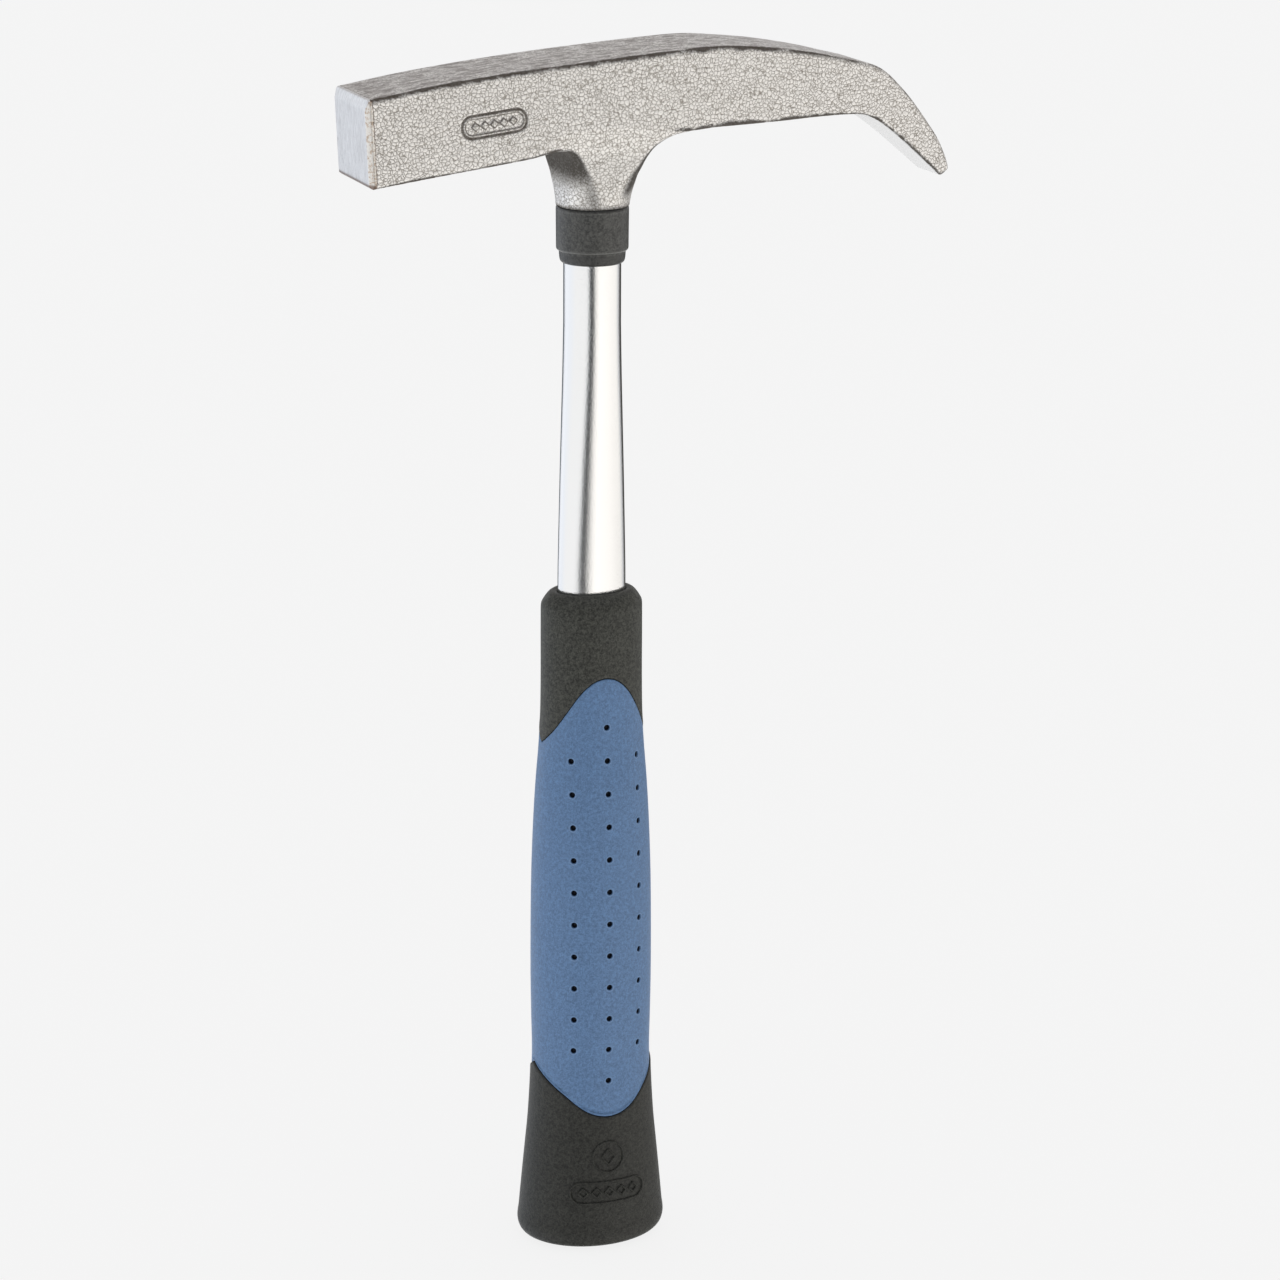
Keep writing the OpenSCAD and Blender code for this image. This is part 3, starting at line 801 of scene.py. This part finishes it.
def bead(points, normals, width, height, closed):
    """A raised line on a surface, half sunk in it."""
    pts, nor = np.asarray(points, float), np.asarray(normals, float)
    n = len(pts)
    if closed:
        tan = np.roll(pts, -1, 0) - np.roll(pts, 1, 0)
    else:
        tan = np.gradient(pts, axis=0)
    tan /= np.linalg.norm(tan, axis=1, keepdims=True)
    side = np.cross(nor, tan)
    side /= np.linalg.norm(side, axis=1, keepdims=True)
    sec = [(-0.5, -0.5), (-0.5, 0.1), (-0.42, 0.55), (-0.2, 0.95), (0.2, 0.95), (0.42, 0.55), (0.5, 0.1), (0.5, -0.5)]
    verts, faces = [], []
    for p, s, m in zip(pts, side, nor):
        for u, w in sec:
            verts.append(tuple(p + s * u * width + m * w * height))
    k = len(sec)
    for i in range(n if closed else n - 1):
        j = (i + 1) % n
        for q in range(k):
            faces.append([i * k + q, i * k + (q + 1) % k, j * k + (q + 1) % k, j * k + q])
    if not closed:
        faces.append(list(range(k)))
        faces.append([(n - 1) * k + q for q in range(k)][::-1])
    return verts, faces


def on_end(x, z):
    """Point and outward normal on the near side of the flared end."""
    a, b = (float(q) for q in grip_ab(z))
    s = max(-0.98, min(0.98, x / a))
    p = np.array([x, -b * math.sqrt(1 - s * s), z])
    a2, b2 = (float(q) for q in grip_ab(z + 0.2))
    q2 = np.array([x, -b2 * math.sqrt(1 - (x / a2) ** 2), z + 0.2])
    tx = np.array([1.0, (b / a) * s / math.sqrt(1 - s * s), 0])
    n = np.cross(tx, q2 - p)
    n /= np.linalg.norm(n)
    return p, n if n[1] < 0 else -n


def build_core():
    n = 112
    phi = np.arange(n) * 360.0 / n
    psi = fold(phi)
    te, le = top_edge(psi)[0], low_edge(psi)[0]
    rows = []

    def fixed(a, b, z):
        t = np.radians(phi)
        rows.append(list(map(tuple, np.stack([a * np.sin(t), -b * np.cos(t), z + 0 * t], -1))))

    def outer(z, g=0.0):
        rows.append(list(map(tuple, on_grip(phi, z + 0 * phi, g))))

    for z in (10.2, 60, 120, 165):
        fixed(8.66, 5.84, z)
    for a, b, z in [(8.66, 5.84, 169.7), (8.74, 5.92, 170.1), (8.95, 6.13, 170.38), (9.3, 6.5, 170.52), (9.8, 7.0, 170.55),
                    (10.3, 7.5, 170.47), (10.8, 8.0, 170.15), (11.3, 8.5, 169.62), (11.9, 9.1, 168.8), (12.4, 9.55, 168.0),
                    (12.64, 9.77, 167.5), (12.74, 9.87, 167.0)]:
        fixed(a, b, z)
    for z in (166, 164, 161, 158, 155.5, 153.5):
        outer(z)
    for f in np.arange(1, 13) / 13:
        outer(153.5 + f * (te + 2.0 - 153.5))
    for s, g in [(2.0, 0.02), (1.4, 0.05), (0.9, 0.07), (0.5, 0.06), (0.26, 0.01), (0.13, -0.08), (0.07, -0.25),
                 (0.05, -0.8), (0.05, -2.25)]:
        outer(te + s, g)
    for f in (0.2, 0.4, 0.6, 0.8):
        outer(te + (le - te) * f, -2.25)
    lip = 0.12 + 0.24 * smooth((psi - 40) / 50)
    for s, g in [(0.05, -2.25), (0.05, -0.8), (0.07, -0.3), (0.13, -0.12), (0.26, -0.02), (0.5, 0.03), (0.9, 0.03),
                 (1.5, 0.0)]:
        outer(le - s, g + lip)
    for f in np.arange(1, 13) / 13:
        z = le - 1.5 + f * (28 - (le - 1.5))
        outer(z, lip * (1 - smooth(f)))
    for z in (26.5, 25, 23.5, 22, 20.5, 19, 17.5, 16, 14.5, 13, 11.5, 10, 8.5, 7, 5.8, 4.8):
        outer(z)
    for z, g in [(4.1, -0.02), (3.5, -0.10), (2.9, -0.25), (2.3, -0.50), (1.8, -0.84), (1.4, -1.25), (1.12, -1.72),
                 (0.95, -2.3), (0.88, -3.0), (0.80, -4.2), (0.5, -4.7), (0.12, -5.0), (0.0, -5.4), (0.0, -9.0)]:
        a, b = grip_ab(4.8)
        t = np.radians(phi)
        rows.append(list(map(tuple, np.stack([(a + g) * np.sin(t), -(b + g) * np.cos(t), z + 0 * t], -1))))
    verts, faces = ring_skin(rows, cap_first=(0, 0, 10.2), cap_last=(0, 0, 0))
    faces = [f[::-1] for f in faces]

    def put(v, f):
        k = len(verts)
        verts.extend(v)
        faces.extend([[i + k for i in q] for q in f])

    def lozenge(px, pz, hw, hh):
        c = [(px - hw, pz), (px, pz - hh), (px + hw, pz), (px, pz + hh)]
        uv = []
        for (ax, az), (bx, bz) in zip(c, c[1:] + c[:1]):
            uv += [(ax + (bx - ax) * k / 5, az + (bz - az) * k / 5) for k in range(5)]
        pn = [on_end(u, w) for u, w in uv]
        put(*bead([q for q, _ in pn], [m for _, m in pn], 0.62, 0.42, True))

    # plain decoration: a lozenge in a ring, and a row of lozenges in a rounded oblong
    cx, cz = -0.5, 25.4
    t = np.arange(56) * 2 * math.pi / 56
    pn = [on_end(cx + 4.0 * math.cos(q), cz + 4.0 * math.sin(q)) for q in t]
    put(*bead([p for p, _ in pn], [m for _, m in pn], 0.55, 0.42, True))
    lozenge(cx, cz, 1.75, 2.1)
    cz = 16.1
    path = []
    hx, hz, rc = 9.6, 2.75, 2.6
    for sx, sz, a0 in ((1, 1, 0), (-1, 1, 90), (-1, -1, 180), (1, -1, 270)):
        for q in np.linspace(0, 90, 9):
            an = math.radians(a0 + q)
            path.append((sx * (hx - rc) + rc * math.cos(an), sz * (hz - rc) + rc * math.sin(an)))
    full = []
    for p, q in zip(path, path[1:] + path[:1]):
        m = max(1, int(math.hypot(q[0] - p[0], q[1] - p[1]) / 0.5))
        full += [(p[0] + (q[0] - p[0]) * k / m, p[1] + (q[1] - p[1]) * k / m) for k in range(m)]
    pn = [on_end(cx + u, cz + w) for u, w in full]
    put(*bead([p for p, _ in pn], [m for _, m in pn], 0.55, 0.42, True))
    for k in range(-2, 3):
        lozenge(cx + 3.3 * k, cz, 1.2, 1.25)
    return make_object("grip_body", verts, faces, mat_black)


cover = build_cover()
core = build_core()

# ----------------------------------------------------- place in the assembly

for piece, node, slot in ((head, "hammer_head", "painted_forging"), (collar, "neck_collar", "collar_plastic"),
                          (tube, "shaft_tube", "chromed_tube"), (core, "grip_core", "grip_hard"),
                          (cover, "grip_soft_cover", "grip_soft")):
    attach(piece, "root")
    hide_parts(node)

for node, mat in (("tube_core_plug", mat_plug_steel), ("tube_end_plug", mat_plug_plastic)):
    ob = next(o for o in scene.objects if o.type == "MESH" and o.name.split(".")[0] == node)
    if not ob.material_slots:
        ob.data.materials.append(mat)
    for s in ob.material_slots:
        s.material = mat

# -------------------------------------------------------------------- stage


def build_floor():
    me = bpy.data.meshes.new("floor")
    r = 14.0
    me.from_pydata([(-r, -r, 0), (r, -r, 0), (r, r, 0), (-r, r, 0)], [], [(0, 1, 2, 3)])
    ob = bpy.data.objects.new("floor", me)
    scene.collection.objects.link(ob)
    m = bpy.data.materials.new("pale_floor")
    m.use_nodes = True
    b = next(n for n in m.node_tree.nodes if n.type == "BSDF_PRINCIPLED")
    b.inputs["Base Color"].default_value = (0.10, 0.10, 0.10, 1)
    b.inputs["Roughness"].default_value = 1.0
    b.inputs["Specular IOR Level"].default_value = 0.0
    b.inputs["Emission Color"].default_value = (1, 1, 1, 1)
    b.inputs["Emission Strength"].default_value = 0.846
    me.materials.append(m)
    ob.visible_glossy = False
    return ob


floor = build_floor()


def build_world():
    w = bpy.data.worlds.new("studio")
    scene.world = w
    w.use_nodes = True
    nt = w.node_tree
    for n in list(nt.nodes):
        nt.nodes.remove(n)
    add = nt.nodes.new
    tc = add("ShaderNodeTexCoord")
    sep = add("ShaderNodeSeparateXYZ")
    nt.links.new(tc.outputs["Generated"], sep.inputs[0])
    at = add("ShaderNodeMath")
    at.operation = "ARCTAN2"
    nt.links.new(sep.outputs["Y"], at.inputs[0])
    nt.links.new(sep.outputs["X"], at.inputs[1])
    mr = add("ShaderNodeMapRange")
    mr.inputs["From Min"].default_value = -math.pi
    mr.inputs["From Max"].default_value = math.pi
    nt.links.new(at.outputs[0], mr.inputs["Value"])

    def ramp(fac, stops, mode="LINEAR"):
        r = add("ShaderNodeValToRGB")
        r.color_ramp.interpolation = mode
        els = r.color_ramp.elements
        while len(els) < len(stops):
            els.new(0.5)
        for e, (pos, col) in zip(els, stops):
            e.position = pos
            e.color = (*col, 1)
        nt.links.new(fac, r.inputs["Fac"])
        return r.outputs["Color"]

    cool, warm, white = (0.86, 0.94, 1.08), (1.05, 1.02, 0.98), (1.0, 1.0, 1.0)
    dark = (0.025, 0.025, 0.027)
    az = mr.outputs[0]
    # just below eye level, what upright surfaces mirror: two white walls, a dark gap behind the camera, dark far behind
    low = ramp(az, [(0.0, white), (0.145, white), (0.167, (0.34, 0.35, 0.36)), (0.180, dark), (0.199, dark),
                    (0.215, (0.36, 0.36, 0.35)), (0.240, warm), (0.28, (1.25, 1.215, 1.165)), (0.50, warm), (0.555, (0.55, 0.56, 0.58)),
                    (0.585, (0.07, 0.065, 0.06)), (0.69, (0.05, 0.05, 0.05)), (0.775, (0.10, 0.12, 0.15)),
                    (0.81, (0.93, 0.96, 1.02)), (0.86, (0.99, 1.02, 1.08)), (0.93, (0.95, 0.98, 1.03)), (1.0, white)])
    # lower down: softer walls, and the bright sweep behind
    under = ramp(az, [(0.0, white), (0.115, white), (0.165, (0.30, 0.30, 0.30)), (0.215, (0.30, 0.30, 0.30)),
                      (0.275, (1.2, 1.17, 1.12)), (0.40, warm), (0.51, (0.42, 0.41, 0.39)), (0.60, (0.6, 0.6, 0.6)),
                      (0.655, (1.2, 1.2, 1.2)), (0.745, (1.2, 1.2, 1.2)), (0.80, (0.80, 0.82, 0.87)),
                      (0.87, (0.70, 0.76, 0.86)), (0.95, (0.90, 0.94, 1.0)), (1.0, white)])
    # at eye level behind, and overhead
    mid = ramp(az, [(0.0, (0.55, 0.57, 0.60)), (0.16, (0.30, 0.30, 0.31)), (0.45, (0.45, 0.43, 0.41)), (0.60, (0.95, 0.94, 0.93)),
                    (0.78, (0.97, 1.0, 1.05)), (0.88, (0.85, 0.91, 1.0)), (1.0, (0.55, 0.57, 0.60))])
    high = ramp(az, [(0.0, (0.26, 0.27, 0.29)), (0.3, (0.27, 0.26, 0.25)), (0.5, (0.38, 0.36, 0.345)),
                     (0.7, (0.36, 0.33, 0.315)), (0.86, (0.36, 0.34, 0.34)), (1.0, (0.26, 0.27, 0.29))])

    def blend(lo, hi, a, b):
        el = add("ShaderNodeMapRange")
        el.interpolation_type = "SMOOTHSTEP"
        el.inputs["From Min"].default_value = a
        el.inputs["From Max"].default_value = b
        nt.links.new(sep.outputs["Z"], el.inputs["Value"])
        mx = add("ShaderNodeMix")
        mx.data_type = "RGBA"
        nt.links.new(el.outputs[0], mx.inputs[0])
        for sock, v in ((mx.inputs[6], lo), (mx.inputs[7], hi)):
            if isinstance(v, tuple):
                sock.default_value = (*v, 1)
            else:
                nt.links.new(v, sock)
        return mx.outputs[2]

    sky = blend(blend(blend(blend((0.20, 0.19, 0.18), under, -0.95, -0.80), low, -0.335, -0.285), mid, -0.13, 0.03),
                high, 0.17, 0.31)
    sky = blend(sky, (0.80, 0.80, 0.81), 0.50, 0.75)
    bg = add("ShaderNodeBackground")
    nt.links.new(sky, bg.inputs["Color"])
    seen = add("ShaderNodeBackground")
    seen.inputs["Color"].default_value = (0.905, 0.905, 0.905, 1)
    lp = add("ShaderNodeLightPath")
    ms = add("ShaderNodeMixShader")
    nt.links.new(lp.outputs["Is Camera Ray"], ms.inputs[0])
    nt.links.new(bg.outputs[0], ms.inputs[1])
    nt.links.new(seen.outputs[0], ms.inputs[2])
    out = add("ShaderNodeOutputWorld")
    nt.links.new(ms.outputs[0], out.inputs["Surface"])


build_world()

cam_data = bpy.data.cameras.new("camera")
cam = bpy.data.objects.new("camera", cam_data)
scene.collection.objects.link(cam)
cam_data.sensor_width = 36.0
cam_data.lens = 107.83
cam_data.clip_start = 0.01
cam_data.clip_end = 60.0
back = Vector((-0.35028825, -0.89381089, 0.28000041)).normalized()
right = Vector((0.93163802, -0.36334378, 0.00564725))
right = (right - back * right.dot(back)).normalized()
up = back.cross(right).normalized()
eye = Vector((0.012849, 0.0, 0.15603)) + back * 0.948963
cam.matrix_world = Matrix(((right.x, up.x, back.x, eye.x), (right.y, up.y, back.y, eye.y),
                           (right.z, up.z, back.z, eye.z), (0, 0, 0, 1)))
scene.camera = cam
